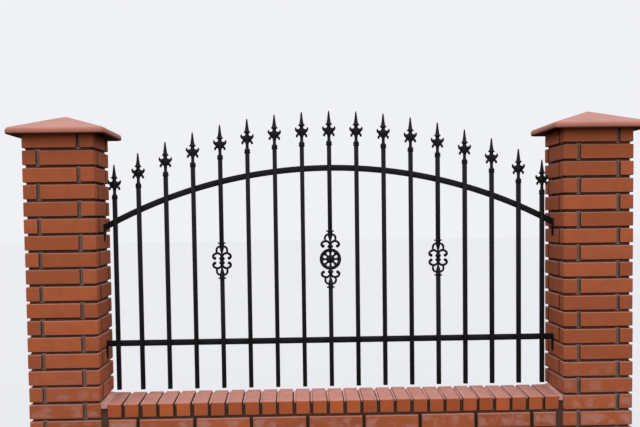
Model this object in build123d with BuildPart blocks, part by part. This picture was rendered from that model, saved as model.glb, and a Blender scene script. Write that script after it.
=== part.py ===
"""Arched spear-top fence bay: two brick piers, a plinth wall and an iron panel.

Millimetres, +Z up, X along the fence, front toward -Y.
The origin is on the ground, in the middle of the bay and of the piers' depth.
"""
import math
import os

from build123d import *

# Brickwork module
brick_length = 250
brick_width = 65
brick_height = 65
bed_joint = 12
head_joint = 10
bed_recess = 15
brick_arris = 6

# Piers, from the ground to the bed of their caps
pier_courses = 24
cap_bed = 10

# Plinth wall and coping between the piers
clear_opening = 2130
plinth_courses = 7
coping_height = 63
coping_fall = 12
coping_arris = 9

# Pier caps
cap_overhang = 58
lip_height = 36
lip_drop = 21
lip_round = 17
drip_round = 13
lip_clearance = 3
cap_slope = 17.7
cap_flat = 16

# Bars of the panel
picket_size = 20
rail_height = 28
rail_depth = 12
side_pickets = 8
end_pitch = 112
end_gap = 57
foot_gap = 30
tail_length = 205

# Arch of the top rail
arch_radius = 2240
rail_spacing = 817
picket_head = 103.5

# End plates that fix the rails to the piers
plate_thickness = 5
plate_depth = 30
plate_height = 82
plate_tail = 12
plate_shoulder = 34

# Rosette castings
rosette_rise = 386
rosette_every = 4
wheel_radius = 51
rim_width = 15
hub_radius = 10
hub_height = 18
window_inner = 20.5
window_middle = 29
window_outer = 35
window_widths = (6.8, 12.4, 8)
casting_thickness = 12
rim_thickness = 15
scroll_width = 10.5
scroll_ball = 7.5
scroll_waist = 9
scroll_steps = 6
collar_width = 38
collar_height = 6
neck_width = 22
neck_height = 14
scroll_set_height = 87
bead_overlap = 4

# Spear tips
spear_height = 163
spear_thickness = 12
ring_width = 27.5
ring_height = 9.5
ring_waist = 22
cone_top = 27
stem_width = 14.5
stem_top = 56
throat_start = 84
throat_width = 17
spike_width = 18.5
skirt_width = 33
skirt_height = 9
spike_start = 109
spike_end = 4.5

# Levels and spans that follow from the sizes above
course = brick_height + bed_joint
pier_side = brick_length + head_joint + brick_width
pier_top = pier_courses * course - bed_joint + cap_bed
half_opening = clear_opening / 2
pier_x = half_opening + pier_side / 2
front_y = -pier_side / 2
wall_y = front_y + brick_length / 2
plinth_top = plinth_courses * course
coping_top_front = plinth_top + coping_height
cap_side = pier_side + 2 * cap_overhang
lip_bottom = pier_top - lip_drop
lip_top = lip_bottom + lip_height
hip_z = lip_top - lip_round * (1 - math.cos(math.radians(cap_slope)))
hip_side = cap_side - 2 * lip_round * (1 - math.sin(math.radians(cap_slope)))
hip_rise = (hip_side - cap_flat) / 2 * math.tan(math.radians(cap_slope))
coping_top_middle = coping_top_front + coping_fall * (pier_side / 2) / brick_length
picket_foot = coping_top_middle + foot_gap
bottom_rail_z = picket_foot + tail_length + rail_height / 2
crown_z = bottom_rail_z + rail_spacing
arch_centre_z = crown_z - arch_radius
rail_y = picket_size / 2 + rail_depth / 2
rail_half_length = half_opening - plate_thickness
rosette_z = bottom_rail_z + rosette_rise
picket_pitch = (half_opening - end_gap - end_pitch) / (side_pickets - 1)
wheel_rosette_half = wheel_radius + scroll_set_height - 2
side_rosette_half = scroll_set_height - bead_overlap + 3
on_its_foot = (Align.CENTER, Align.CENTER, Align.MIN)


def arch_z(x, offset=0):
    """Height of the arch above the ground at x, on a radius larger by offset."""
    return arch_centre_z + math.sqrt((arch_radius + offset) ** 2 - x**2)


def picket_x(k):
    """Place of picket k, counted from the middle one, which is 0."""
    inner = min(abs(k), side_pickets - 1) * picket_pitch
    outer = end_pitch if abs(k) == side_pickets else 0
    return math.copysign(inner + outer, k)


def arc_point(start, middle, end, share):
    """Point at a share of the arc through three points."""
    return ThreePointArc(start, middle, end, mode=Mode.PRIVATE) @ share


def save(part, name):
    """Label a finished piece and write its file."""
    part.label = name
    export_step(part, f"parts/{name}.step")


os.makedirs("parts", exist_ok=True)

# Brick piers: courses of bricks around a core of mortar, which shows in the raked bed joints
for side, sign in (("left", -1), ("right", 1)):
    with BuildPart() as pier:
        with Locations([(sign * pier_x, 0, row * course) for row in range(pier_courses)]):
            Box(pier_side, pier_side, brick_height, align=on_its_foot)
        chamfer(pier.edges().filter_by(Axis.Z), brick_arris)
        with Locations((sign * pier_x, 0, 0)):
            Box(pier_side - 2 * bed_recess, pier_side - 2 * bed_recess, pier_top, align=on_its_foot)
    save(pier.part, f"{side}_pier")

# Plinth wall, flush with the piers' fronts: its mortar beds run on into those of the piers
with BuildPart() as plinth:
    with Locations([(0, wall_y, row * course) for row in range(plinth_courses)]):
        Box(clear_opening, brick_length, brick_height, align=on_its_foot)
    with Locations([(0, wall_y, row * course + brick_height) for row in range(plinth_courses)]):
        Box(
            clear_opening + 2 * bed_recess,
            brick_length - 2 * bed_recess,
            bed_joint,
            align=on_its_foot,
        )
save(plinth.part, "plinth_wall")

# Coping of bricks on edge, with a little fall to the front
with BuildPart() as coping:
    with BuildSketch(Plane.YZ.offset(-half_opening)):
        with BuildLine():
            Polyline(
                (front_y, plinth_top),
                (front_y + brick_length, plinth_top),
                (front_y + brick_length, coping_top_front + coping_fall),
                (front_y, coping_top_front),
                close=True,
            )
        make_face()
    extrude(amount=clear_opening)
    fillet(coping.edges().filter_by(Axis.X).sort_by(Axis.Z)[-2:], coping_arris)
save(coping.part, "plinth_coping")

# Pier caps: a hipped top on a thick round lip that hangs below the pier's top
for side, sign in (("left", -1), ("right", 1)):
    with BuildPart() as cap:
        with Locations((sign * pier_x, 0, lip_bottom)):
            Box(cap_side, cap_side, lip_height, align=on_its_foot)
        fillet(cap.faces().sort_by(Axis.Z)[-1].edges(), lip_round)
        fillet(cap.faces().sort_by(Axis.Z)[0].edges(), drip_round)
        with BuildSketch(Plane.XY.offset(hip_z)):
            with Locations((sign * pier_x, 0)):
                Rectangle(hip_side, hip_side)
        extrude(amount=hip_rise, taper=90 - cap_slope)
        with Locations((sign * pier_x, 0, lip_bottom)):
            Box(
                pier_side + 2 * lip_clearance,
                pier_side + 2 * lip_clearance,
                lip_drop,
                align=on_its_foot,
                mode=Mode.SUBTRACT,
            )
    save(cap.part, f"{side}_pier_cap")

# Straight bottom rail, behind the pickets
with BuildPart() as bottom_rail:
    with Locations((0, rail_y, bottom_rail_z)):
        Box(2 * rail_half_length, rail_depth, rail_height)
save(bottom_rail.part, "bottom_rail")

# Arched top rail, one circular arc cut upright at both ends
with BuildPart() as top_rail:
    with BuildSketch(Plane.XZ.offset(-rail_y)):
        with BuildLine():
            upper = [(x, arch_z(x, rail_height / 2)) for x in (-rail_half_length, 0, rail_half_length)]
            lower = [(x, arch_z(x, -rail_height / 2)) for x in (rail_half_length, 0, -rail_half_length)]
            ThreePointArc(*upper)
            Line(upper[-1], lower[0])
            ThreePointArc(*lower)
            Line(lower[-1], upper[0])
        make_face()
    extrude(amount=rail_depth / 2, both=True)
save(top_rail.part, "arched_top_rail")

# End plates: each is flush with its rail's top and reaches below it
plate_tops = {
    "top": arch_z(rail_half_length, rail_height / 2),
    "bottom": bottom_rail_z + rail_height / 2,
}
for level, plate_top in plate_tops.items():
    for side, sign in (("left", -1), ("right", 1)):
        with BuildPart() as plate:
            with BuildSketch(Plane.YZ.offset(sign * half_opening - (sign + 1) / 2 * plate_thickness)):
                with Locations((rail_y, plate_top)):
                    Polygon(
                        (-plate_depth / 2, 0),
                        (-plate_depth / 2, -plate_shoulder),
                        (-plate_tail / 2, -plate_height),
                        (plate_tail / 2, -plate_height),
                        (plate_depth / 2, -plate_shoulder),
                        (plate_depth / 2, 0),
                        align=None,
                    )
            extrude(amount=plate_thickness)
        save(plate.part, f"{level}_end_plate_{side}")

# Spear tip, made once with its foot at the origin: its turned lengths narrow upwards, and
# the ring's upper half mirrors its lower one
turned = [
    (0, ring_width, ring_height, ring_waist),
    (2 * ring_height, ring_waist, cone_top, stem_width),
    (cone_top, stem_width, stem_top, stem_width),
    (throat_start, throat_width, spike_start - skirt_height, throat_width),
    (spike_start - skirt_height, skirt_width, spike_start, spike_width),
    (spike_start, spike_width, spear_height, spike_end),
]
half_outline = [
    (0, 47),
    (8, 47),
    (10.5, 51),
    (15.5, 52),
    (17.2, 46.2),
    (22.3, 42.6),
    (27.4, 46),
    (27.6, 51.5),
    (24.6, 56.2),
    (19.6, 61.5),
    (23.4, 68),
    (29.2, 73),
    (32.3, 80.5),
    (31.2, 86.5),
    (27.2, 92),
    (24.8, 89),
    (22, 84.2),
    (16.5, 81.6),
    (11.5, 83),
    (8.6, 88.5),
    (0, 91),
]
with BuildPart() as spear:
    for z0, width0, z1, width1 in turned:
        with BuildSketch(Plane.XY.offset(z0)):
            RegularPolygon(width0 / 2, 8, major_radius=False, rotation=22.5)
        extrude(amount=z1 - z0, taper=math.degrees(math.atan2((width0 - width1) / 2, z1 - z0)))
        if z0 == 0:
            mirror(about=Plane.XY.offset(ring_height))
    with BuildSketch(Plane.XZ) as tulip:
        with BuildLine():
            Polyline(*half_outline, close=True)
        make_face()
        mirror(about=Plane.YZ)
    extrude(amount=spear_thickness / 2, both=True)

# One scroll set of a casting, upright, with its foot at the origin: each bend is an arc
# through three points, and is drawn in a few straight steps
scroll_bends = [
    ([((3, 21), (9.5, 31.5), (21, 35.7)), ((21, 35.7), (41.2, 24), (34, 11))], scroll_width),
    ([((8, scroll_set_height - 21), (22.5, scroll_set_height - 28), (24, 37))], scroll_width - 1),
]
with BuildSketch(Plane.XZ.offset(-casting_thickness / 2)) as scroll_face:
    for bends, width in scroll_bends:
        with BuildLine():
            steps = [(bend, i / scroll_steps) for bend in bends for i in range(scroll_steps)]
            Polyline(*[arc_point(*bend, share) for bend, share in steps], bends[-1][-1])
        trace(line_width=width)
    with Locations(scroll_bends[0][0][-1][-1]):
        RegularPolygon(scroll_ball, 8)
    with BuildLine():
        Polyline(
            (0, -2),
            (5.5, -2),
            (5.5, 5),
            (12.5, 8),
            (12.5, 13),
            (5.5, 17),
            (scroll_waist / 2, 30),
            (neck_width / 2, scroll_set_height - collar_height - neck_height),
            (neck_width / 2, scroll_set_height - collar_height),
            (0, scroll_set_height - collar_height),
            close=True,
        )
    make_face()
    mirror(about=Plane.YZ)
with BuildPart() as scroll_set:
    extrude(scroll_face.sketch, amount=casting_thickness)
    with Locations((0, 0, scroll_set_height - collar_height - neck_height / 2)):
        Box(neck_width, picket_size, neck_height)
    with Locations((0, 0, scroll_set_height - collar_height / 2)):
        collar = Box(collar_width, collar_width, collar_height)
    chamfer(collar.edges().filter_by(Axis.Z), 4)

# Rosettes: a wheel between two scroll sets in the middle, two sets alone beside it
window_reach = (window_inner, window_middle, window_outer)
half_window = [(reach, width / 2) for reach, width in zip(window_reach, window_widths)]
rosettes = {0: "wheel_rosette", -rosette_every: "left_rosette", rosette_every: "right_rosette"}
rosette_half = {k: wheel_rosette_half if k == 0 else side_rosette_half for k in rosettes}
for k, name in rosettes.items():
    with BuildPart() as rosette:
        with Locations(
            (0, 0, rosette_half[k] - scroll_set_height),
            Location((0, 0, scroll_set_height - rosette_half[k]), (180, 0, 0)),
        ):
            add(scroll_set.part)
        if k == 0:
            with BuildSketch(Plane.XZ):
                Circle(wheel_radius - 1)
                with PolarLocations(0, 8, start_angle=22.5):
                    Polygon(*[(x, -y) for x, y in half_window], *reversed(half_window),
                            align=None, mode=Mode.SUBTRACT)
            extrude(amount=casting_thickness / 2, both=True)
            with BuildSketch(Plane.XZ):
                Circle(wheel_radius)
                Circle(wheel_radius - rim_width, mode=Mode.SUBTRACT)
            extrude(amount=rim_thickness / 2, both=True)
            with BuildSketch(Plane.XZ):
                Circle(hub_radius)
            extrude(amount=hub_height / 2, both=True)
    with BuildPart() as placed:
        with Locations((picket_x(k), 0, rosette_z)):
            add(rosette.part)
    save(placed.part, name)

# Pickets and their spear tips, numbered from the left
for k in range(-side_pickets, side_pickets + 1):
    number = k + side_pickets + 1
    x = picket_x(k)
    head = arch_z(x) + picket_head
    spans = [(picket_foot, head)]
    if k in rosettes:
        spans = [(picket_foot, rosette_z - rosette_half[k]), (rosette_z + rosette_half[k], head)]
    with BuildPart() as picket:
        for low, high in spans:
            with Locations((x, 0, low)):
                Box(picket_size, picket_size, high - low, align=on_its_foot)
    save(picket.part, f"picket_{number:02d}")
    with BuildPart() as tip:
        with Locations((x, 0, head)):
            add(spear.part)
    save(tip.part, f"spear_tip_{number:02d}")

tip_z = crown_z + picket_head + spear_height
print("pickets", 2 * side_pickets + 1, "pier top", pier_top, "tip", round(tip_z, 1))
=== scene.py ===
"""Arched spear-top fence bay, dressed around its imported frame.

Brick piers with clinker caps, a coped brick plinth, and an iron panel with an arched
top rail, square pickets, cast spear tips and three cast rosettes.
"""

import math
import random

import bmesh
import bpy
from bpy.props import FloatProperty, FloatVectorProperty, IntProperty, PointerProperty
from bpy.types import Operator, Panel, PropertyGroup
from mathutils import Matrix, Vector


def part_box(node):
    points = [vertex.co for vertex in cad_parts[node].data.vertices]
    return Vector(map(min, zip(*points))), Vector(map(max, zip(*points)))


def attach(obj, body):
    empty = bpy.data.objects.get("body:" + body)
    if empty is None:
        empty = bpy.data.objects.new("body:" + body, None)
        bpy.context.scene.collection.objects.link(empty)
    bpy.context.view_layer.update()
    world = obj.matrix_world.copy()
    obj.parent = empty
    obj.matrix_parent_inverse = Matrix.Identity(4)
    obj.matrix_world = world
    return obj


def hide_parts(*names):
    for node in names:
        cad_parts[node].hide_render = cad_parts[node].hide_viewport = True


bl_info = {
    "name": "Arched Spear-Top Fence",
    "version": (1, 0, 0),
    "blender": (4, 5, 0),
    "location": "View3D > Sidebar > Fence",
    "description": "Builds a bay of brick and iron fence around its packed frame",
    "category": "Add Mesh",
}

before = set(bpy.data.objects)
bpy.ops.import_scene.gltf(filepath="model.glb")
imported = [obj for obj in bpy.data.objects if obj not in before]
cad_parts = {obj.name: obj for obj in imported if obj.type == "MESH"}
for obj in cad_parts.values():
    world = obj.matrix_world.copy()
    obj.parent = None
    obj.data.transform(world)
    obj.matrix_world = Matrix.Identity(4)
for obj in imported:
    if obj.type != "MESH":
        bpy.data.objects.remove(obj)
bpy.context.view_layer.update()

MM = 0.001
BODY = "root"


def length(name, description, default):
    """A length in metres for a property group."""
    return FloatProperty(name=name, description=description, default=default, min=0.0,
                         unit="LENGTH", subtype="DISTANCE", precision=4)


def colour(name, description, default):
    """A linear colour for a property group."""
    return FloatVectorProperty(name=name, description=description, default=default,
                               subtype="COLOR", size=3, min=0.0, max=1.0)


class BrickworkSettings(PropertyGroup):
    """Sizes and colours of the piers, the plinth and the coping."""

    brick_length: length("Brick length", "Length of a whole brick in the plinth", 0.247)
    pier_brick: length("Pier brick", "Length of a brick in the piers", 0.247)
    brick_width: length("Brick width", "Width of a brick, into the wall", 0.065)
    brick_height: length("Brick height", "Height of a brick", 0.065)
    bed_joint: length("Bed joint", "Mortar between two courses", 0.012)
    head_joint: length("Head joint", "Mortar between bricks in a pier's course", 0.013)
    corner_radius: length("Corner radius", "Rounding of a brick's upright edges", 0.0025)
    pier_corner: length("Pier corner", "Rounding of the pier's own upright edges", 0.01)
    arris_radius: length("Arris radius", "Rounding of a brick's level edges", 0.0038)
    bed_recess: length("Bed recess", "How far the bed joints are raked out", 0.015)
    head_recess: length("Head recess", "How far the head joints are raked out", 0.011)
    wander: length("Wander", "How far a brick lies off its line", 0.0009)
    left_closer: length("Left closer", "Cut brick at the plinth's left end", 0.129)
    right_closer: length("Right closer", "Cut brick at the plinth's right end", 0.108)
    end_joint: length("End joint", "Joint between the plinth and a pier", 0.033)
    end_recess: length("End recess", "How far the joints along the piers are raked out", 0.038)
    coping_bricks: IntProperty(name="Coping bricks", default=27, min=1,
                               description="Number of bricks on edge in the coping")
    coping_brick: length("Coping brick", "Width of a brick on edge in the coping", 0.065)
    coping_arris: length("Coping arris", "Rounding of the coping bricks' edges", 0.0065)
    coping_left: length("Coping left", "Joint between the coping and the left pier", 0.03)
    coping_right: length("Coping right", "Joint between the coping and the right pier", 0.021)
    coping_recess: length("Coping recess", "How far the coping's joints are raked out", 0.018)
    coping_drift: length("Coping drift", "How far the coping's bricks drift off an even row", 0.01)
    coping_fall: length("Coping fall", "Fall of the coping to the front", 0.012)
    clay: colour("Clay", "Fired clay of the piers and the plinth", (0.32, 0.079, 0.029))
    coping_clay: colour("Coping clay", "Fired clay of the coping", (0.365, 0.082, 0.025))
    # Paler arrises: partly wear, partly a painted highlight on the rounded edges
    worn_and_highlit: colour("Worn and highlit edges", "Clay of the worn arrises", (0.36, 0.165, 0.115))
    # Partly dust, partly a painted sheen that makes the upward faces paler
    dust_and_sheen: colour("Dust and sheen", "Dust on upward faces", (0.43, 0.212, 0.182))
    bloom: colour("Bloom", "Salt bloom on the lower courses", (0.42, 0.3, 0.29))
    mortar: colour("Mortar", "Mortar between the piers' brick ends", (0.16, 0.106, 0.086))
    # Dark mortar in the wall's joints, partly painted shade; also the painted shade on brick ends
    # inside joints
    damp: colour("Damp mortar", "Mortar between brick ends in the wall", (0.034, 0.017, 0.011))
    # Bed mortar darkened partly as painted shade of the deep raked bed joints
    soot: colour("Soot", "Mortar deep in the bed joints", (0.064, 0.032, 0.022))
    cement: colour("Cement", "Pointing on top of the coping", (0.44, 0.22, 0.185))


class CapSettings(PropertyGroup):
    """Shape and colour of the pier caps."""

    slope: FloatProperty(name="Slope", description="Slope of the four hips", unit="ROTATION",
                         default=math.radians(17.7), min=0.0)
    lip_height: length("Lip height", "Height of the lip", 0.036)
    lip_round: length("Lip round", "Radius of the lip's upper edge", 0.017)
    corner_round: length("Corner round", "Rounding of the corners, seen from above", 0.022)
    drip_offset: length("Drip offset", "How far the rounding of the lower edge reaches", 0.019)
    nose_offset: length("Nose offset", "How far the rounding of the upper edge reaches", 0.012)
    ridge_offset: length("Ridge offset", "How far the rounding of the ridges reaches", 0.003)
    lip_drop: length("Lip drop", "How far the lip hangs below the pier's top", 0.021)
    seat_side: length("Seat side", "Side of the recess that sits on the pier", 0.331)
    flat_side: length("Flat side", "Side of the small flat at the top", 0.016)
    clinker: colour("Clinker", "Colour of the fired cap", (0.345, 0.118, 0.078))
    # Partly dust, partly a painted sheen on the upward slopes
    dust_and_sheen: colour("Cap dust", "Dust on the slopes", (0.335, 0.176, 0.154))
    # Painted shade on the downward faces under the lip
    shade: colour("Cap shade", "Clinker under the lip", (0.09, 0.026, 0.016))


class IronSettings(PropertyGroup):
    """Sizes and finish of the iron panel."""

    arch_radius: length("Arch radius", "Radius of the top rail's centre line", 2.24)
    edge_radius: length("Edge radius", "Rounding of the bars' edges", 0.0014)
    weld_radius: length("Weld radius", "Thickness of a weld bead", 0.0022)
    paint: colour("Paint", "Colour of the paint", (0.0044, 0.005, 0.006))
    gloss: FloatProperty(name="Roughness", description="Roughness of the paint",
                         default=0.46, min=0.0, max=1.0)


class StageSettings(PropertyGroup):
    """Light, floor and camera."""

    floor: colour("Floor", "Colour of the floor", (0.5, 0.503, 0.515))
    sky: colour("Sky", "Colour of the light from above the horizon", (0.87, 0.88, 0.92))
    ground: colour("Ground", "Colour of the light from below the horizon", (0.05, 0.036, 0.03))
    sun: FloatProperty(name="Overhead light", default=3.0, min=0.0,
                       description="Strength of the soft light from above")
    focal_px: FloatProperty(name="Focal length", default=923.9, min=1.0,
                            description="Focal length in pixels of a frame 640 wide")


# Finishes

JOINT_SHADE = 0.85         # how far a brick is darkened with painted shade where it lies inside a joint
BLOOM_FADE = (0.55, 0.78)  # the heights between which the salt bloom fades, in metres


class Graph:
    """A node tree under construction."""

    def __init__(self, tree):
        self.nodes, self.links = tree.nodes, tree.links

    def add(self, kind, **settings):
        """A new shader node with its settings."""
        made = self.nodes.new("ShaderNode" + kind)
        for name, value in settings.items():
            setattr(made, name, value)
        return made

    def feed(self, socket, value):
        """Links a socket to another, or gives it a value."""
        if isinstance(value, bpy.types.NodeSocket):
            self.links.new(value, socket)
        else:
            socket.default_value = value

    def span(self, value, low, high, to_low=0.0, to_high=1.0):
        """Maps a value from one range to another, clamped."""
        made = self.add("MapRange", clamp=True)
        for name, given in (("Value", value), ("From Min", low), ("From Max", high),
                            ("To Min", to_low), ("To Max", to_high)):
            self.feed(made.inputs[name], given)
        return made.outputs["Result"]

    def sums(self, operation, *values, kind="Math"):
        """One sum of values, or of vectors."""
        made = self.add(kind, operation=operation)
        for socket, value in zip(made.inputs, values):
            self.feed(socket, value)
        return made.outputs[0]

    def blend(self, share, first, second):
        """A mix of two colours."""
        made = self.add("Mix", data_type="RGBA")
        self.feed(made.inputs[0], share)
        for socket, given in ((made.inputs[6], first), (made.inputs[7], second)):
            self.feed(socket, given if isinstance(given, bpy.types.NodeSocket) else (*given, 1.0))
        return made.outputs[2]

    def axes(self, vector):
        """The X, Y and Z of a vector."""
        made = self.add("SeparateXYZ")
        self.links.new(vector, made.inputs[0])
        return [made.outputs[axis] for axis in "XYZ"]


class Finish(Graph):
    """A procedural material under construction."""

    def __init__(self, name, roughness, specular):
        self.material = bpy.data.materials.new(name)
        self.material.use_nodes = True
        super().__init__(self.material.node_tree)
        self.shader = self.nodes["Principled BSDF"]
        self.feed(self.shader.inputs["Roughness"], roughness)
        self.feed(self.shader.inputs["Specular IOR Level"], specular)
        self.place = self.add("TexCoord").outputs["Object"]

    def noise(self, scale, detail, roughness=0.55):
        """Noise on the piece's own coordinates."""
        made = self.add("TexNoise")
        self.links.new(self.place, made.inputs["Vector"])
        for name, value in (("Scale", scale), ("Detail", detail), ("Roughness", roughness)):
            made.inputs[name].default_value = value
        return made.outputs["Fac"]

    def facing_up(self):
        """How far a face looks upwards, from -1 to 1."""
        return self.axes(self.add("NewGeometry").outputs["Normal"])[2]

    def attribute(self, name, output="Fac"):
        """An attribute of the mesh."""
        return self.add("Attribute", attribute_name=name).outputs[output]

    def bump(self, *layers):
        """Stacks bump layers of (height, distance, strength)."""
        normal = None
        for height, distance, strength in layers:
            made = self.add("Bump")
            for name, value in (("Distance", distance), ("Strength", strength),
                                ("Height", height), ("Normal", normal)):
                if value is not None:
                    self.feed(made.inputs[name], value)
            normal = made.outputs["Normal"]
        self.links.new(normal, self.shader.inputs["Normal"])

    def paint(self, colour_value, roughness=None):
        """Gives the shader its colour and, if it varies, its roughness."""
        self.feed(self.shader.inputs["Base Color"], colour_value)
        if roughness is not None:
            self.feed(self.shader.inputs["Roughness"], roughness)
        return self.material


def scaled(rgb, factor):
    """A colour made lighter or darker."""
    return tuple(min(1.0, c * factor) for c in rgb)


def brick_finish(name, settings, bloom_strength=0.0, dust_sheen_share=0.7, clay=None):
    """Fired clay: a tone for each brick, paler arrises (wear and painted highlight), dust and
    painted sheen on top, painted shade on the ends in the joints, and salt bloom low down."""
    finish = Finish(name, roughness=0.85, specular=0.18)
    blend, span, noise, sums = finish.blend, finish.span, finish.noise, finish.sums
    clay = clay or settings.clay
    tone = finish.attribute("tone")
    shade = blend(tone, scaled(clay, 0.84), scaled(clay, 1.14))
    mottle = noise(19.0, 6.0, 0.6)
    dark = blend(span(mottle, 0.45, 0.72, 0.0, 0.4), shade, scaled(clay, 0.7))
    grain = noise(170.0, 8.0, 0.65)
    speckled = blend(span(grain, 0.55, 0.75, 0.0, 0.3), dark,
                     (clay[0] * 1.25, clay[1] * 1.6, clay[2] * 1.9))
    place, half = (finish.attribute("brick_" + part, "Vector") for part in ("place", "half"))
    off_middle = sums("ABSOLUTE", place, kind="VectorMath")
    x, y, z = finish.axes(sums("SUBTRACT", half, off_middle, kind="VectorMath"))
    to_arris = sums("MAXIMUM", sums("MINIMUM", x, y), sums("MINIMUM", sums("MAXIMUM", x, y), z))
    # Paler arrises: partly wear, partly a painted highlight on the rounded edges
    wear_and_sheen = span(noise(55.0, 4.0), 0.35, 0.65, 0.15, 0.6)
    arris = sums("MULTIPLY", span(to_arris, 0.0015, 0.006, 1.0, 0.0), wear_and_sheen)
    worn_and_highlit = blend(arris, speckled, settings.worn_and_highlit)
    # Upward faces made paler: partly dust, partly painted sheen
    dust_sheen_mask = sums("MULTIPLY", span(finish.facing_up(), 0.5, 0.95),
                   span(noise(24.0, 5.0, 0.6), 0.3, 0.7, dust_sheen_share - 0.2, dust_sheen_share + 0.2))
    result = blend(dust_sheen_mask, worn_and_highlit, settings.dust_and_sheen)
    # Painted shade on the brick faces that lie inside a joint
    joint_shade = sums("MULTIPLY", finish.attribute("in_joint"), JOINT_SHADE)
    result = blend(joint_shade, result, settings.damp)
    if bloom_strength:
        low_down = span(finish.axes(finish.place)[2], *BLOOM_FADE, bloom_strength, 0.0)
        patch = span(noise(17.0, 3.0, 0.5), 0.47, 0.60)
        inner = span(to_arris, 0.004, 0.016, 0.1, 1.0)
        cloud = span(noise(60.0, 6.0, 0.7), 0.25, 0.75, 0.45, 1.0)
        salt = sums("MULTIPLY", sums("MULTIPLY", patch, inner), sums("MULTIPLY", cloud, low_down))
        result = blend(salt, result, settings.bloom)
    finish.bump((mottle, 0.004, 0.25), (grain, 0.0012, 0.5))
    return finish.paint(result, span(grain, 0.3, 0.7, 0.78, 0.92))


def mortar_finish(name, mortar):
    """Raked cement mortar, sandy, with paler and darker stretches."""
    finish = Finish(name, roughness=0.95, specular=0.2)
    sand = finish.noise(420.0, 6.0, 0.7)
    cloud = finish.noise(14.0, 4.0, 0.6)
    base = finish.blend(finish.span(cloud, 0.35, 0.65), scaled(mortar, 0.78), scaled(mortar, 1.2))
    mixed = finish.blend(finish.span(sand, 0.4, 0.7, 0.0, 0.4), base, scaled(mortar, 1.6))
    finish.bump((sand, 0.0015, 0.7), (cloud, 0.004, 0.3))
    return finish.paint(mixed)


def clinker_finish(name, settings):
    """Salmon cap clinker: fine grain, faint blotches, dust and painted sheen on slopes, painted
    shade below.
    """
    finish = Finish(name, roughness=0.6, specular=0.45)
    clinker = settings.clinker
    cloud = finish.noise(7.0, 5.0, 0.55)
    grain = finish.noise(260.0, 6.0, 0.6)
    base = finish.blend(finish.span(cloud, 0.35, 0.68), scaled(clinker, 0.86),
                        scaled(clinker, 1.12))
    spots = finish.blend(finish.span(grain, 0.6, 0.78, 0.0, 0.4), base,
                         (clinker[0] * 1.15, clinker[1] * 1.5, clinker[2] * 1.6))
    upward = finish.facing_up()
    # Upward slopes made paler: partly dust, partly painted sheen
    dust_and_sheen = finish.sums("MULTIPLY", finish.span(upward, 0.5, 1.0),
                       finish.span(cloud, 0.3, 0.7, 0.35, 0.7))
    dust_sheen_and_shade = finish.blend(dust_and_sheen, spots, settings.dust_and_sheen)
    # Painted shade: the downward faces under the lip are darkened
    dust_sheen_and_shade = finish.blend(finish.span(upward, -0.55, -0.05, 0.85, 0.0), dust_sheen_and_shade, settings.shade)
    finish.bump((grain, 0.0006, 0.4), (cloud, 0.003, 0.15))
    return finish.paint(dust_sheen_and_shade, finish.span(cloud, 0.3, 0.7, 0.52, 0.68))


def iron_finish(name, settings):
    """Near-black satin paint over wrought bars and castings, a little uneven."""
    gloss = settings.gloss
    finish = Finish(name, roughness=gloss, specular=0.11)
    paint = settings.paint
    cloud = finish.noise(11.0, 4.0, 0.6)
    orange_peel = finish.noise(380.0, 3.0, 0.5)
    hammer = finish.noise(48.0, 3.0, 0.5)
    base = finish.blend(finish.span(cloud, 0.35, 0.7), scaled(paint, 0.8), scaled(paint, 1.5))
    finish.bump((hammer, 0.0012, 0.25), (orange_peel, 0.0003, 0.35))
    return finish.paint(base, finish.span(cloud, 0.3, 0.7, gloss - 0.08, gloss + 0.12))


# Making and placing meshes

TOUCH = 1e-6  # distance within which two points are one, in metres


def mesh_of(bm, name):
    """Turns a bmesh into a mesh and frees it."""
    mesh = bpy.data.meshes.new(name)
    bm.to_mesh(mesh)
    bm.free()
    return mesh


def place(context, name, data):
    """Puts a mesh, a light or a camera into the scene."""
    made = bpy.data.objects.new(name, data)
    context.scene.collection.objects.link(made)
    return made


def set_piece(context, name, bm, materials, nodes=(), sharp=35.0, flat=False):
    """Turns a bmesh into a piece that rides on the frame; flat shades its large faces level."""
    bmesh.ops.recalc_face_normals(bm, faces=bm.faces)
    mesh = mesh_of(bm, name)
    for material in materials:
        mesh.materials.append(material)
    mesh.shade_smooth()
    mesh.set_sharp_from_angle(angle=math.radians(sharp))
    piece = place(context, name, mesh)
    if flat:
        piece.modifiers.new("level_faces", "WEIGHTED_NORMAL").keep_sharp = True
    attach(piece, BODY)
    if nodes:
        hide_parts(*nodes)


def add_box(bm, low, high, material=0):
    """A box between two corners; returns its vertices."""
    low, high = Vector(low), Vector(high)
    matrix = Matrix.Translation((low + high) / 2) @ Matrix.Diagonal((*(high - low), 1.0))
    verts = bmesh.ops.create_cube(bm, size=1.0, matrix=matrix)["verts"]
    for face in {f for v in verts for f in v.link_faces}:
        face.material_index = material
    return verts


def round_edges(bm, edges, radius, segments=2):
    """Bevels edges to a round profile."""
    bmesh.ops.bevel(bm, geom=list(edges), offset=radius, offset_type="OFFSET", segments=segments,
                    profile=0.5, affect="EDGES", material=-1, clamp_overlap=True)


def cut(bm, point, normal, clear=False):
    """Cuts a bmesh along a plane, clears what lies past it if asked, and returns the cut."""
    return bmesh.ops.bisect_plane(bm, geom=bm.verts[:] + bm.edges[:] + bm.faces[:], dist=TOUCH,
                                  plane_co=point, plane_no=normal, clear_outer=clear)["geom_cut"]


def is_along(edge, axis):
    """True if an edge runs along axis 0, 1 or 2, but for a small slant."""
    line = edge.verts[1].co - edge.verts[0].co
    return abs(line[axis]) > 0.98 * line.length


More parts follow.
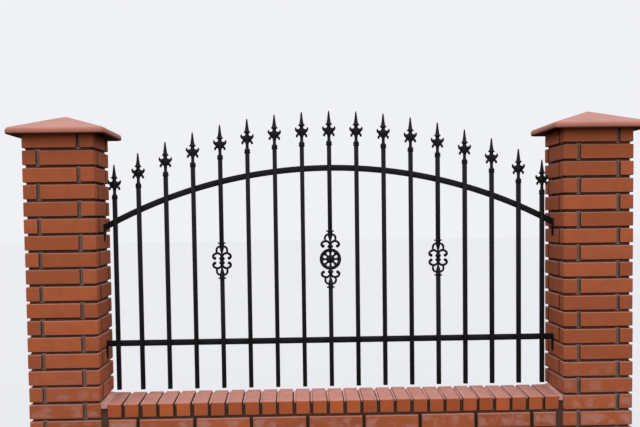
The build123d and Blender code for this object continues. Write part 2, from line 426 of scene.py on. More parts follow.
def brick_template(size, corner, arris, outer):
    """A brick about the origin, with rounded corners and arrises, as a mesh. Its upright
    edge at the front on the side of outer's sign is rounded by outer instead."""
    bm = bmesh.new()
    half = Vector(size) / 2
    add_box(bm, -half, half)
    uprights = [e for e in bm.edges if is_along(e, 2)]
    exposed = [e for e in uprights if e.verts[0].co.y < 0 and e.verts[0].co.x * outer > 0]
    round_edges(bm, [e for e in uprights if e not in exposed], corner, 1)
    round_edges(bm, exposed, abs(outer))
    level = [e for e in bm.edges if abs(e.verts[0].co.z - e.verts[1].co.z) < TOUCH
             and abs(abs(e.verts[0].co.z) - half.z) < TOUCH]
    round_edges(bm, level, arris)
    return mesh_of(bm, "brick_template")


MOST_TURN = 0.004  # most that a brick is turned off its line, in radians
SQUARE = 0.6       # least part of a face's normal along an axis that it faces


class Bricklayer:
    """Lays bricks into one mesh, each with its own tone and a little off its line."""

    def __init__(self, settings, seed, arris=None):
        self.settings = settings
        self.arris = arris or settings.arris_radius
        self.bm = bmesh.new()
        self.tone = self.bm.faces.layers.float.new("tone")
        self.hidden = self.bm.faces.layers.float.new("in_joint")
        self.place = self.bm.verts.layers.float_vector.new("brick_place")
        self.half = self.bm.verts.layers.float_vector.new("brick_half")
        self.draw = random.Random(seed)
        self.templates = {}

    def template(self, size, outer):
        """The template of a size, made once."""
        key = tuple(round(s, 5) for s in (*size, outer))
        if key not in self.templates:
            corner = self.settings.corner_radius
            self.templates[key] = brick_template(size, corner, self.arris, outer)
        return self.templates[key]

    def lay(self, centre, size, turn=None, outer=0.0):
        """Lays one brick with its centre at centre, turned by a matrix."""
        bm, draw = self.bm, self.draw
        first_vert, first_face = len(bm.verts), len(bm.faces)
        bm.from_mesh(self.template(size, outer))
        verts, faces = bm.verts[:][first_vert:], bm.faces[:][first_face:]
        half = Vector(size) / 2
        shade = draw.random()
        for vert in verts:
            vert[self.place] = vert.co
            vert[self.half] = half
        for face in faces:
            face[self.tone] = shade
            face.normal_update()
            # Faces that lie inside a joint, which the finish darkens with painted shade
            end = abs(face.normal.x) > SQUARE and face.normal.x * outer <= 0
            face[self.hidden] = float(end or (outer != 0 and face.normal.y > SQUARE))
        off = Vector(draw.uniform(-1, 1) for _ in range(3)) * self.settings.wander
        tilt = Matrix.Rotation(draw.uniform(-MOST_TURN, MOST_TURN), 4, "Z")
        matrix = Matrix.Translation(Vector(centre) + off) @ (turn or Matrix()) @ tilt
        bmesh.ops.transform(bm, matrix=matrix, verts=verts)

    def done(self):
        """Clears the templates and hands over the mesh."""
        for mesh in self.templates.values():
            bpy.data.meshes.remove(mesh)
        return self.bm


def bar_from_curve(points, radii, flat, resolution):
    """A bent bar as a mesh: a smooth curve through points in the XZ plane, with its
    radius at each point, and its depth in Y scaled by flat."""
    curve = bpy.data.curves.new("bar_path", "CURVE")
    curve.dimensions = "3D"
    curve.bevel_depth = 1.0
    curve.bevel_resolution = 2
    curve.resolution_u = resolution
    curve.use_fill_caps = True
    spline = curve.splines.new("BEZIER")
    spline.bezier_points.add(len(points) - 1)
    for knot, (x, z), radius in zip(spline.bezier_points, points, radii):
        knot.co = (x * MM, 0.0, z * MM)
        knot.radius = radius * MM
        knot.handle_left_type = knot.handle_right_type = "AUTO"
    holder = bpy.data.objects.new("bar_path", curve)
    mesh = bpy.data.meshes.new_from_object(holder)
    bpy.data.objects.remove(holder)
    bpy.data.curves.remove(curve)
    for vert in mesh.vertices:
        vert.co.y *= flat
    return mesh


def join_mesh(bm, mesh, matrix=None, keep=False):
    """Adds a mesh to a bmesh, moved by a matrix, and removes it unless it is kept."""
    first = len(bm.verts)
    bm.from_mesh(mesh)
    if matrix:
        bmesh.ops.transform(bm, matrix=matrix, verts=bm.verts[:][first:])
    if not keep:
        bpy.data.meshes.remove(mesh)


def add_both_sides(bm, bars, ball, flat, resolution):
    """Adds bent bars and the ball on the end of one of them, at the right and at the left."""
    x, z, radius = (value * MM for value in ball)
    for sign in (1, -1):
        for points, radii in bars:
            path = [(sign * along, up) for along, up in points]
            join_mesh(bm, bar_from_curve(path, radii, flat, resolution))
        spot = Matrix.Translation((sign * x, 0, z))
        bmesh.ops.create_icosphere(bm, subdivisions=2, radius=radius, matrix=spot)


def add_web(bm, outline, half_thickness):
    """Adds a thin rounded plate from half an outline of (x, z) in millimetres."""
    part = bmesh.new()
    whole = outline + [(-x, z) for x, z in reversed(outline) if x]
    near = -half_thickness * MM
    face = part.faces.new([part.verts.new((x * MM, near, z * MM)) for x, z in whole])
    made = bmesh.ops.extrude_face_region(part, geom=[face], use_keep_orig=True)["geom"]
    far = [v for v in made if isinstance(v, bmesh.types.BMVert)]
    bmesh.ops.translate(part, vec=(0, 2 * half_thickness * MM, 0), verts=far)
    bmesh.ops.recalc_face_normals(part, faces=part.faces)
    rims = [e for e in part.edges if not is_along(e, 1)]
    round_edges(part, rims, half_thickness * 0.6 * MM)
    join_mesh(bm, mesh_of(part, "web"))


def turned(bm, profile, steps, axis="Z", flat=1.0):
    """Adds a profile of (radius, height) in millimetres, spun about Z or Y."""
    part = bmesh.new()
    verts = [part.verts.new((r * MM, 0.0, h * MM)) for r, h in profile]
    edges = [part.edges.new(pair) for pair in zip(verts, verts[1:])]
    bmesh.ops.spin(part, geom=verts + edges, axis=(0, 0, 1), angle=math.tau, steps=steps,
                   use_merge=True)
    bmesh.ops.remove_doubles(part, verts=part.verts, dist=TOUCH)
    turn = Matrix.Rotation(math.radians(90), 4, "X") if axis == "Y" else Matrix()
    shape = Matrix.Diagonal((1.0, flat, 1.0, 1.0)) @ turn
    bmesh.ops.transform(part, matrix=shape, verts=part.verts)
    join_mesh(bm, mesh_of(part, "turned"))


# Masonry

PIER_SEEDS = {"left_pier": 11, "right_pier": 12}
PLINTH_SEED = 31
COPING_SEED = 47
ROW_OF_WHOLES = 8

# Places of the mortars in a piece: in the beds, between brick ends, and pointed on top
IN_BED, IN_JOINT, ON_TOP = range(3)

# Mortar strips between brick ends, in metres: half width or lap, reach up and down, far end
PIER_STRIP = (0.010, 0.039, 0.030)
PLINTH_STRIP = (0.004, 0.036, 0.050)

# Mortar of the coping, in metres: recess, and drop below the top
BED = (0.015, 0.014)
STRIP_DROP = 0.012
PALE = (0.022, 0.005)
POINTING = (0.007, 0.001)
POINTING_BACK = 0.008
POINTING_DEPTH = 0.032
POINTING_RISE = 0.005  # against the pier
COPING_STEP = 0.003    # of the bricks behind the wall's front
LAP = 0.003            # of the strips behind the bricks
PALE_LAP = 0.004


def set_masonry(context, name, node, slot, layer, clay, joints, *kinds):
    """Sets a node's bricks as one piece, and as another the mortars between them; kinds are
    the names of their colours."""
    set_piece(context, name + "_bricks", layer.done(), [clay], [node], 60.0, flat=True)
    # The bed and wall-joint mortar colours are partly painted shade
    mortars = [bpy.data.materials.get(kind + "_joint")
               or mortar_finish(kind + "_joint", getattr(layer.settings, kind)) for kind in kinds]
    set_piece(context, name + "_mortar", joints, mortars)


class FENCE_OT_lay_piers(Operator):
    """Lay both brick piers, four bricks to a course around a mortar core"""

    bl_idname = "fence.lay_piers"
    bl_label = "Lay Piers"

    def execute(self, context):
        settings = context.scene.fence_brickwork
        clay = brick_finish("pier_clay", settings, bloom_strength=0.38)
        for name, seed in PIER_SEEDS.items():
            low, high = map(Vector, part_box(name))
            self.lay_pier(context, name, Bricklayer(settings, seed), low, high, clay)
        return {"FINISHED"}

    def lay_pier(self, context, name, layer, low, high, clay):
        """One pier, its bricks and its mortar."""
        settings = layer.settings
        joints = bmesh.new()
        size = (settings.pier_brick, settings.brick_width, settings.brick_height)
        course = settings.brick_height + settings.bed_joint
        side = high.x - low.x
        centre = Vector((*((low + high) / 2).xy, 0))
        courses = round((high.z - low.z) / course)
        reach = (side - size[0]) / 2
        face = (side - size[1]) / 2
        head_x = side / 2 - settings.brick_width - settings.head_joint / 2
        strip, rise, depth = PIER_STRIP
        for row in range(courses):
            sign = -1 if (courses - 1 - row) % 2 else 1
            z = low.z + row * course + size[2] / 2
            for quarter in range(4):
                turn = Matrix.Rotation(sign * quarter * math.pi / 2, 4, "Z")
                spot = turn @ Vector((-sign * reach, -face, z))
                layer.lay(centre + spot, size, turn, -sign * settings.pier_corner)
                x = sign * head_x
                near = (x - strip, settings.head_recess - side / 2, max(low.z, z - rise))
                far = (x + strip, depth - side / 2, min(high.z, z + rise))
                verts = add_box(joints, near, far, IN_JOINT)
                bmesh.ops.transform(joints, matrix=Matrix.Translation(centre) @ turn, verts=verts)
        inset = Vector((settings.bed_recess, settings.bed_recess, 0))
        add_box(joints, low + inset, high - inset)
        set_masonry(context, name, name, "pier_brick", layer, clay, joints, "soot", "mortar")


class FENCE_OT_lay_plinth(Operator):
    """Lay the plinth wall in running bond, front and back, with cut bricks at its ends"""

    bl_idname = "fence.lay_plinth"
    bl_label = "Lay Plinth"

    def execute(self, context):
        settings = context.scene.fence_brickwork
        low, high = map(Vector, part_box("plinth_wall"))
        joints = bmesh.new()
        tongue = Vector((settings.bed_recess, 0, 0))
        inset = Vector((0, settings.bed_recess, 0))
        add_box(joints, low + inset, high - inset)
        low, high = low + tongue, high - tongue
        layer = Bricklayer(settings, PLINTH_SEED)
        width, height = settings.brick_width, settings.brick_height
        course = height + settings.bed_joint
        courses = round((high.z - low.z) / course)
        whole, left, right = settings.brick_length, settings.left_closer, settings.right_closer
        rows = ([whole] * ROW_OF_WHOLES, [left] + [whole] * (ROW_OF_WHOLES - 1) + [right])
        lap, rise, depth = PLINTH_STRIP
        for row in range(courses):
            lengths = rows[(courses - 1 - row) % 2 == 0]
            spare = high.x - low.x - sum(lengths) - 2 * settings.end_joint
            gaps = [settings.end_joint] + [spare / (len(lengths) - 1)] * (len(lengths) - 1)
            z = low.z + row * course + height / 2
            for front in (True, False):
                y = low.y + width / 2 if front else high.y - width / 2
                x = low.x
                for gap, brick in zip([*gaps, settings.end_joint], [*lengths, 0.0]):
                    inner = low.x < x and brick
                    recess = settings.head_recess if inner else settings.end_recess
                    near = low.y + recess if front else high.y - depth
                    far = low.y + depth if front else high.y - recess
                    add_box(joints, (max(low.x, x - lap), near, max(low.z, z - rise)),
                            (min(high.x, x + gap + lap), far, z + rise), IN_JOINT)
                    x += gap
                    if brick:
                        layer.lay((x + brick / 2, y, z), (brick, width, height))
                    x += brick
        clay = brick_finish("plinth_clay", settings, bloom_strength=0.4)
        set_masonry(context, "plinth", "plinth_wall", "plinth_brick", layer, clay, joints,
                    "soot", "damp")
        return {"FINISHED"}


class FENCE_OT_lay_coping(Operator):
    """Lay the coping: bricks on edge with their ends to the front, falling forward"""

    bl_idname = "fence.lay_coping"
    bl_label = "Lay Coping"

    def execute(self, context):
        settings = context.scene.fence_brickwork
        low, high = map(Vector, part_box("plinth_coping"))
        layer = Bricklayer(settings, COPING_SEED, settings.coping_arris)
        joints = bmesh.new()
        width = settings.coping_brick
        count = settings.coping_bricks
        deep = high.y - low.y
        tall = high.z - low.z - settings.coping_fall
        run = high.x - low.x - settings.coping_left - settings.coping_right
        joint = (run - count * width) / (count - 1)
        lean = Matrix.Rotation(math.atan2(settings.coping_fall, deep), 4, "X")
        middle = (low + high) / 2

        def strip(left, right, foot, recess, drop, material, back=None):
            """Mortar across the coping, its top falling to the front with the bricks."""
            near, top = low.y + recess, high.z - drop
            verts = add_box(joints, (left, near, foot), (right, high.y - (back or recess), top),
                            material)
            front = [v for v in verts if v.co.z > top - TOUCH and v.co.y < near + TOUCH]
            bmesh.ops.translate(joints, vec=(0, 0, -settings.coping_fall), verts=front)
            return verts

        strip(low.x - BED[0], high.x + BED[0], low.z, *BED, IN_BED)
        ends = [low.x]
        for number in range(count):
            x = low.x + settings.coping_left + number * (width + joint)
            x += settings.coping_drift * math.sin(math.pi * number / count)
            layer.lay((x + width / 2, middle.y + COPING_STEP / 2, middle.z),
                      (width, deep - COPING_STEP, tall), lean)
            ends += [x, x + width]
        ends.append(high.x)
        for left, right in zip(ends[::2], ends[1::2]):
            at_pier = left == low.x or right == high.x
            recess = settings.end_recess if at_pier else settings.coping_recess
            strip(left - LAP, right + LAP, low.z, recess, STRIP_DROP, IN_JOINT)
            if not at_pier:
                strip(left + PALE_LAP, right + LAP, middle.z, *PALE, ON_TOP)
        foot = high.z - POINTING_DEPTH
        for x, far in ((low.x, ends[1] + LAP), (high.x, ends[-2] - LAP)):
            verts = strip(min(x, far), max(x, far), foot, *POINTING, ON_TOP, POINTING_BACK)
            raised = [v for v in verts if v.co.z > foot + TOUCH and abs(v.co.x - x) < TOUCH]
            bmesh.ops.translate(joints, vec=(0, 0, POINTING_RISE), verts=raised)
        clay = brick_finish("coping_clay", settings, dust_sheen_share=0.75, clay=settings.coping_clay)
        set_masonry(context, "coping", "plinth_coping", "coping_brick", layer, clay, joints,
                    "soot", "damp", "cement")
        return {"FINISHED"}


# How edges are found, in metres: on a level, near the rim or long in the arch, and a ridge
LEVEL, SLACK, LEAST_RIDGE = 1e-4, 0.01, 0.1
CAP_STEPS = 5


class FENCE_OT_set_caps(Operator):
    """Set the clinker caps on the piers"""

    bl_idname = "fence.set_caps"
    bl_label = "Set Caps"

    def execute(self, context):
        settings = context.scene.fence_caps
        clinker = clinker_finish("clinker", settings)
        for name in ("left_pier_cap", "right_pier_cap"):
            low, high = map(Vector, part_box(name))
            self.set_cap(context, name, settings, low, high, clinker)
        return {"FINISHED"}

    def set_cap(self, context, name, settings, low, high, clinker):
        """One cap: a hipped block with a round lip and a recess for the pier."""
        middle = (low + high) / 2
        half = (high.x - low.x) / 2
        shortfall = 1 - (1 - math.sin(settings.slope)) / math.cos(settings.slope)
        eaves = low.z + settings.lip_height - settings.lip_round * shortfall
        bm = bmesh.new()
        add_box(bm, low, (high.x, high.y, eaves))
        faces = sorted(bm.faces, key=lambda f: f.calc_center_median().z)
        bmesh.ops.inset_region(bm, faces=[faces[0]], thickness=half - settings.seat_side / 2,
                               depth=-settings.lip_drop, use_even_offset=True)
        bmesh.ops.inset_region(bm, faces=[faces[-1]], thickness=half - settings.flat_side / 2,
                               depth=high.z - eaves, use_even_offset=True)

        def reach(vert):
            return max(abs(vert.co.x - middle.x), abs(vert.co.y - middle.y))

        uprights = [e for e in bm.edges
                    if is_along(e, 2) and min(map(reach, e.verts)) > half - LEVEL]
        round_edges(bm, uprights, settings.corner_round, CAP_STEPS)
        for level, offset in ((low.z, settings.drip_offset), (eaves, settings.nose_offset)):
            rim = [e for e in bm.edges if all(
                abs(v.co.z - level) < LEVEL and reach(v) > half - SLACK for v in e.verts)]
            round_edges(bm, rim, offset, CAP_STEPS)
        slopes = [e for e in bm.edges if min(v.co.z for v in e.verts) > eaves - SLACK]
        ridges = [e for e in slopes if e.calc_length() > LEAST_RIDGE
                  and max(map(reach, e.verts)) > 2 * min(map(reach, e.verts))]
        round_edges(bm, ridges, settings.ridge_offset)
        set_piece(context, name + "_clinker", bm, [clinker], [name], 30.0, flat=True)


# Ironwork

ROSETTES = ("left_rosette", "wheel_rosette", "right_rosette")
END_PLATES = [f"{rail}_end_plate_{side}" for rail in ("top", "bottom")
              for side in ("left", "right")]
ARCH_OVERRUN = 0.02     # of the arch past its ends before it is cut, in radians
ARCH_STEPS = 64
PLATE_SHOULDER = 0.034  # height of a plate above its taper, in metres
PLATE_TAIL = 0.6        # width of a plate's tail against its head
PLATE_ROUND = 0.0008
WELD_SHARE = 0.42       # half length of a weld bead against the rail's height


def nodes_named(part):
    """The frame's nodes with this in their names, in order."""
    return sorted(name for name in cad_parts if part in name)


def set_iron(context, name, bm, nodes=(), sharp=35.0):
    """Sets a piece in the one paint that all the ironwork shares."""
    paint = bpy.data.materials.get("graphite_paint")
    paint = paint or iron_finish("graphite_paint", context.scene.fence_iron)
    set_piece(context, name, bm, [paint], nodes, sharp)


class FENCE_OT_forge_rails(Operator):
    """Forge the straight bottom rail and the arched top rail"""

    bl_idname = "fence.forge_rails"
    bl_label = "Forge Rails"

    def execute(self, context):
        settings = context.scene.fence_iron
        low, high = map(Vector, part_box("bottom_rail"))
        bm = bmesh.new()
        add_box(bm, low, high)
        round_edges(bm, [e for e in bm.edges if is_along(e, 0)], settings.edge_radius)
        set_iron(context, "bottom_rail_bar", bm, ["bottom_rail"])
        self.arched(context, settings, high.z - low.z)
        return {"FINISHED"}

    def arched(self, context, settings, tall):
        """The top rail: its section spun about the arch's centre and cut upright."""
        low, high = map(Vector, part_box("arched_top_rail"))
        radius = settings.arch_radius
        centre = Vector((0, (low.y + high.y) / 2, high.z - tall / 2 - radius))
        half_angle = math.asin(high.x / radius) + ARCH_OVERRUN
        bm = bmesh.new()
        upright = Matrix.Rotation(math.radians(90), 4, "Y")
        size = Matrix.Diagonal((tall, high.y - low.y, 1.0, 1.0))
        section = Matrix.Translation((0, centre.y, high.z - tall / 2)) @ upright @ size
        bmesh.ops.create_grid(bm, x_segments=1, y_segments=1, size=0.5, matrix=section)
        bmesh.ops.delete(bm, geom=bm.faces[:], context="FACES_ONLY")
        to_start = Matrix.Rotation(-half_angle, 3, "Y")
        bmesh.ops.rotate(bm, cent=centre, matrix=to_start, verts=bm.verts)
        bmesh.ops.spin(bm, geom=bm.verts[:] + bm.edges[:], cent=centre, axis=(0, 1, 0),
                       angle=2 * half_angle, steps=ARCH_STEPS)
        for x, side in ((low.x, -1), (high.x, 1)):
            rim = [e for e in cut(bm, (x, 0, 0), (side, 0, 0), clear=True)
                   if isinstance(e, bmesh.types.BMEdge)]
            bmesh.ops.holes_fill(bm, edges=rim, sides=0)
        bmesh.ops.recalc_face_normals(bm, faces=bm.faces)
        long_edges = [e for e in bm.edges if len(e.link_faces) == 2
                      and abs(e.verts[0].co.x - e.verts[1].co.x) > SLACK
                      and e.calc_face_angle(0) > 1.0]
        round_edges(bm, long_edges, settings.edge_radius)
        set_iron(context, "arched_top_rail_bar", bm, ["arched_top_rail"])


class FENCE_OT_fix_end_plates(Operator):
    """Fix the end plates of both rails, with their tapered tails, to the piers"""

    bl_idname = "fence.fix_end_plates"
    bl_label = "Fix End Plates"

    def execute(self, context):
        for name in END_PLATES:
            low, high = map(Vector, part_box(name))
            bm = bmesh.new()
            add_box(bm, low, high)
            cut(bm, (0, 0, high.z - PLATE_SHOULDER), (0, 0, 1))
            tail = [v for v in bm.verts if v.co.z < low.z + TOUCH]
            to_middle = Matrix.Translation((0, -(low.y + high.y) / 2, 0))
            bmesh.ops.scale(bm, vec=(1, PLATE_TAIL, 1), space=to_middle, verts=tail)
            outline = [e for e in bm.edges if not is_along(e, 0) and e.calc_face_angle(0) > 0.8]
            round_edges(bm, outline, PLATE_ROUND)
            set_iron(context, name + "_iron", bm, [name])
        return {"FINISHED"}


class FENCE_OT_forge_pickets(Operator):
    """Forge the square pickets and weld them to the fronts of the rails"""

    bl_idname = "fence.forge_pickets"
    bl_label = "Forge Pickets"

    def execute(self, context):
        settings = context.scene.fence_iron
        rosettes = {}
        for name in ROSETTES:
            low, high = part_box(name)
            rosettes[round((low[0] + high[0]) / 2, 3)] = (low[2], high[2])
        beads = bmesh.new()
        rail_low, rail_high = map(Vector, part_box("bottom_rail"))
        arch_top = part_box("arched_top_rail")[1][2]
        tall = rail_high.z - rail_low.z
        arch_centre = arch_top - tall / 2 - settings.arch_radius
        bead = Matrix.Diagonal((1.0, 1.0, tall * WELD_SHARE / settings.weld_radius, 1.0))
        for name in nodes_named("picket_"):
            low, high = map(Vector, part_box(name))
            x = (low.x + high.x) / 2
            gap = rosettes.get(round(x, 3))
            spans = [(low.z, gap[0]), (gap[1], high.z)] if gap else [(low.z, high.z)]
            bm = bmesh.new()
            for bottom, top in spans:
                add_box(bm, (low.x, low.y, bottom), (high.x, high.y, top))
            round_edges(bm, bm.edges[:], settings.edge_radius)
            set_iron(context, name + "_bar", bm, [name])
            arch = arch_centre + math.sqrt(settings.arch_radius ** 2 - x ** 2)
            for z in ((rail_low.z + rail_high.z) / 2, arch):
                for side in (low.x, high.x):
                    spot = Matrix.Translation((side, high.y, z)) @ bead
                    bmesh.ops.create_uvsphere(beads, u_segments=8, v_segments=8, matrix=spot,
                                              radius=settings.weld_radius)
        set_iron(context, "weld_beads", beads)
        return {"FINISHED"}


# Spear tip, in millimetres from its foot: turned stem and boss, bent bars with their radii,
# the leaf's ball, and the web between the bars
SPEAR_STEM = [(0, 0), (12.8, 0), (14.2, 1.4), (14.2, 7), (12.8, 8.8), (11.6, 9.5), (12.8, 10.2),
              (14, 12), (13.8, 16.6), (12.4, 18.6), (10.4, 20.4), (8.6, 23.4), (7.6, 27), (7.2, 33),
              (7.4, 40), (8.2, 46), (9.4, 52), (10, 60), (10, 84), (9.2, 88), (8.7, 92),
              (9.4, 94.8), (13.6, 97), (16.3, 98.6), (16.4, 100.2), (14.4, 102.3), (12.2, 104.9),
              (10.3, 108), (9.3, 111.5), (8, 120), (7.2, 126), (6.3, 132), (5.6, 138.5), (4.9, 145),
              (4.2, 151), (3.4, 157), (2.6, 160), (1.4, 162.2), (0, 163)]
SPEAR_BOSS = [(0, 50), (7, 52), (11.5, 57), (14.5, 63), (16, 70), (15, 76), (11.5, 82), (8, 88),
              (0, 90)]
SPEAR_HORN = ([(7, 61), (14, 65.5), (20.8, 71), (25.2, 76), (27, 81.2), (27.2, 86.5), (27.1, 90.4)],
              [4.6, 4.8, 4.8, 5, 5, 3.8, 1.6])
SPEAR_LEAF = ([(5, 56), (12, 57.4), (18, 56), (21.6, 52.4), (22.2, 48.4)], [5, 5.2, 5.2, 5.3, 5.4])
SPEAR_LEAF_BALL = (22.1, 48.2, 5.6)
SPEAR_WEB_HALF = 2.6
SPEAR_WEB = [(0, 49), (9, 50.5), (15, 54), (19, 60), (22.4, 65), (27.6, 71), (29, 78), (24.5, 82.5),
             (20, 82.5), (15, 82.5), (11, 84), (8.5, 88.5), (7, 92), (0, 92)]


class FENCE_OT_cast_spears(Operator):
    """Cast a spear tip for the head of every picket"""

    bl_idname = "fence.cast_spears"
    bl_label = "Cast Spears"

    def execute(self, context):
        pattern = self.pattern()
        for name in nodes_named("spear_tip_"):
            low, high = map(Vector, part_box(name))
            bm = bmesh.new()
            foot = Vector((*((low + high) / 2).xy, low.z))
            join_mesh(bm, pattern, Matrix.Translation(foot), keep=True)
            set_iron(context, name + "_casting", bm, [name])
        bpy.data.meshes.remove(pattern)
        return {"FINISHED"}

    def pattern(self):
        """One spear tip with its foot at the origin."""
        bm = bmesh.new()
        turned(bm, SPEAR_STEM, 20)
        turned(bm, SPEAR_BOSS, 20, flat=0.62)
        add_web(bm, SPEAR_WEB, SPEAR_WEB_HALF)
        add_both_sides(bm, (SPEAR_HORN, SPEAR_LEAF), SPEAR_LEAF_BALL, flat=0.95, resolution=4)
        return mesh_of(bm, "spear_pattern")


# One scroll set of a rosette, in millimetres from its foot, and its height
SCROLL_SET = 86.5
BIG_SCROLL = ([(2, 20), (7, 29.6), (14, 34.6), (22, 35.9), (32, 33), (39, 27.4), (41.2, 20.6),
               (39.2, 14.4), (34.8, 11.2)], [4.6, 5.3, 5.8, 5.8, 5.8, 5.8, 5.8, 5.8, 6])
BIG_SCROLL_BALL = (33.8, 11.8, 8)
SMALL_LOOP = ([(8, 68), (16, 65.5), (22.4, 59.5), (25, 51), (23.6, 37)], [4.8, 5.2, 5.2, 5.2, 4.6])
SCROLL_STEM = [(0, -3), (6, -3), (6.4, 2), (10.6, 4), (13.6, 7.6), (13.6, 13), (10, 17), (6.2, 20),
               (5.2, 25), (4.6, 29), (3.6, 33), (5.6, 41), (8.6, 52), (10.6, 60), (11.2, 66),
               (11.2, 76), (12.4, 79.4), (17.4, 80.6), (19, 81.6), (19, 85.2),
               (17.8, SCROLL_SET), (0, SCROLL_SET)]

# The boss of a scroll rosette, the lower halves of the wheel's rim and hub, and a spoke, in mm
SIDE_BOSS = [(0, -9), (5, -8), (8, -5), (9, 0), (8, 5), (5, 8), (0, 9)]
WHEEL_RIM = [(35.6, -5), (37.6, -7), (43, -7.5), (48.6, -6.8), (51, -4)]
WHEEL_HUB = [(0, -9), (4, -8.8), (8, -7.6), (10.4, -5.2), (17, -4.4), (20.5, -3)]
WHEEL_SPOKE = ([(0, 14), (0, 24), (0, 31), (0, 38)], [4.8, 4.8, 6.2, 10])
SPOKES = 8


class FENCE_OT_cast_rosettes(Operator):
    """Cast the wheel rosette of the middle picket and the two scroll rosettes beside it"""

    bl_idname = "fence.cast_rosettes"
    bl_label = "Cast Rosettes"

    def execute(self, context):
        for name in ROSETTES:
            low, high = map(Vector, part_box(name))
            bm = bmesh.new()
            lift = Matrix.Translation((0, 0, (high.z - low.z) / 2 - SCROLL_SET * MM))
            self.scroll_set(bm, lift)
            self.scroll_set(bm, Matrix.Rotation(math.pi, 4, "X") @ lift)
            if name == "wheel_rosette":
                self.wheel(bm)
            else:
                turned(bm, SIDE_BOSS, 16)
            bmesh.ops.translate(bm, vec=(low + high) / 2, verts=bm.verts)
            set_iron(context, name + "_casting", bm, [name], sharp=40.0)
        return {"FINISHED"}

    def scroll_set(self, bm, matrix):
        """One set of two big scrolls, two small loops and the stem between them."""
        part = bmesh.new()
        turned(part, SCROLL_STEM, 20)
        add_both_sides(part, (BIG_SCROLL, SMALL_LOOP), BIG_SCROLL_BALL, flat=1.7, resolution=5)
        join_mesh(bm, mesh_of(part, "scroll_set"), matrix)

    def wheel(self, bm):
        """The wheel: a rim, a raised hub and the petal spokes."""
        rim, hub = (half + [(r, -h) for r, h in reversed(half)] for half in (WHEEL_RIM, WHEEL_HUB))
        turned(bm, rim + rim[:1], 64, axis="Y")
        turned(bm, hub, 32, axis="Y")
        for number in range(SPOKES):
            spoke = bar_from_curve(*WHEEL_SPOKE, flat=0.75, resolution=4)
            join_mesh(bm, spoke, Matrix.Rotation(number * math.tau / SPOKES, 4, "Y"))


# The photo's camera: place in metres, yaw, pitch and roll in degrees, picture in pixels
CAMERA_PLACE = (-0.1638, -4.3681, 1.4338)
CAMERA_TURN = (1.520, -3.172, 0.761)
PICTURE_WIDTH = 640.0
PICTURE_SHIFT = (-0.45, 56.95)
SENSOR_WIDTH = 36.0
LAMP_ANGLE, LAMP_TURN = 135, (34, -2)  # in degrees
HORIZON = 0.22  # height at which the sky has its full light


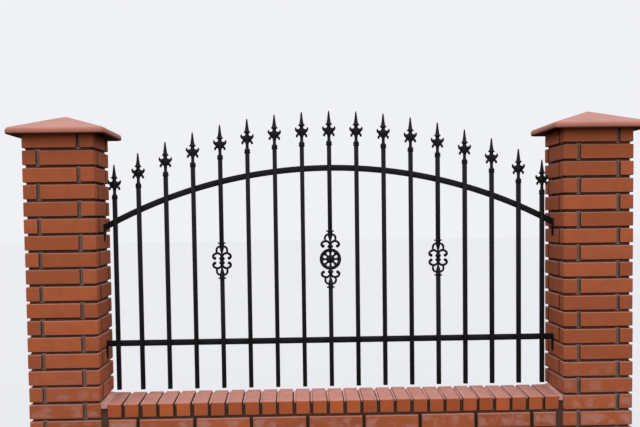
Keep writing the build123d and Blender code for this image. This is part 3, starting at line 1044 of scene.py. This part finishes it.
class FENCE_OT_set_stage(Operator):
    """Set the floor, the soft light and the camera"""

    bl_idname = "fence.set_stage"
    bl_label = "Set Stage"

    def execute(self, context):
        settings = context.scene.fence_stage
        scene = context.scene
        bm = bmesh.new()
        bmesh.ops.create_grid(bm, x_segments=1, y_segments=1, size=60.0)
        floor = place(context, "floor", mesh_of(bm, "floor"))
        pale = Finish("floor_pale", roughness=0.9, specular=0.2)
        tint = pale.blend(pale.noise(0.8, 2.0), scaled(settings.floor, 0.98),
                          scaled(settings.floor, 1.02))
        floor.data.materials.append(pale.paint(tint))
        floor.visible_diffuse = floor.visible_glossy = False
        scene.view_settings.view_transform = "Standard"
        self.hang_sky(scene, settings)
        lamp = bpy.data.lights.new("overhead", "SUN")
        lamp.energy = settings.sun
        lamp.angle = math.radians(LAMP_ANGLE)
        place(context, "overhead", lamp).rotation_euler = (*map(math.radians, LAMP_TURN), 0)
        camera = bpy.data.cameras.new("camera")
        camera.sensor_width = SENSOR_WIDTH
        camera.lens = settings.focal_px * SENSOR_WIDTH / PICTURE_WIDTH
        camera.shift_x, camera.shift_y = (shift / PICTURE_WIDTH for shift in PICTURE_SHIFT)
        camera.clip_end = 200.0
        yaw, pitch, roll = map(math.radians, CAMERA_TURN)
        turn = (Matrix.Rotation(-yaw, 4, "Z") @ Matrix.Rotation(math.radians(90) + pitch, 4, "X")
                @ Matrix.Rotation(-roll, 4, "Z"))
        scene.camera = place(context, "camera", camera)
        scene.camera.matrix_world = Matrix.Translation(CAMERA_PLACE) @ turn
        return {"FINISHED"}

    def hang_sky(self, scene, settings):
        """A pale sky and dark ground below it; the camera sees the pale sky alone."""
        world = bpy.data.worlds.new("soft_sky")
        world.use_nodes = True
        graph = Graph(world.node_tree)
        height = graph.axes(graph.add("TexCoord").outputs["Generated"])[2]
        seen = graph.sums("MAXIMUM", graph.span(height, 0.0, HORIZON),
                          graph.add("LightPath").outputs["Is Camera Ray"])
        light = graph.blend(seen, settings.ground, settings.sky)
        graph.feed(graph.nodes["Background"].inputs["Color"], light)
        scene.world = world


class FENCE_PT_panel(Panel):
    """Lists the steps and settings of the fence"""

    bl_idname = "FENCE_PT_panel"
    bl_label = "Arched Spear-Top Fence"
    bl_space_type = "VIEW_3D"
    bl_region_type = "UI"
    bl_category = "Fence"

    def draw(self, context):
        layout = self.layout
        for step in STEPS:
            layout.operator(step.bl_idname)
        for name, group in GROUPS.items():
            box = layout.box()
            box.label(text=name.replace("fence_", "").title())
            for prop in group.__annotations__:
                box.prop(getattr(context.scene, name), prop)


GROUPS = {"fence_brickwork": BrickworkSettings, "fence_caps": CapSettings,
          "fence_iron": IronSettings, "fence_stage": StageSettings}
STEPS = (FENCE_OT_lay_piers, FENCE_OT_lay_plinth, FENCE_OT_lay_coping, FENCE_OT_set_caps,
         FENCE_OT_forge_rails, FENCE_OT_fix_end_plates, FENCE_OT_forge_pickets,
         FENCE_OT_cast_spears, FENCE_OT_cast_rosettes, FENCE_OT_set_stage)
CLASSES = (*GROUPS.values(), *STEPS, FENCE_PT_panel)


def register():
    """Registers the settings, the steps and the panel."""
    for cls in CLASSES:
        bpy.utils.register_class(cls)
    for name, group in GROUPS.items():
        setattr(bpy.types.Scene, name, PointerProperty(type=group))


def unregister():
    """Takes them away again."""
    for name in GROUPS:
        delattr(bpy.types.Scene, name)
    for cls in reversed(CLASSES):
        bpy.utils.unregister_class(cls)


def main():
    """Builds every piece and the stage."""
    register()
    for step in STEPS:
        group, name = step.bl_idname.split(".")
        getattr(getattr(bpy.ops, group), name)()


if __name__ == "__main__":
    main()
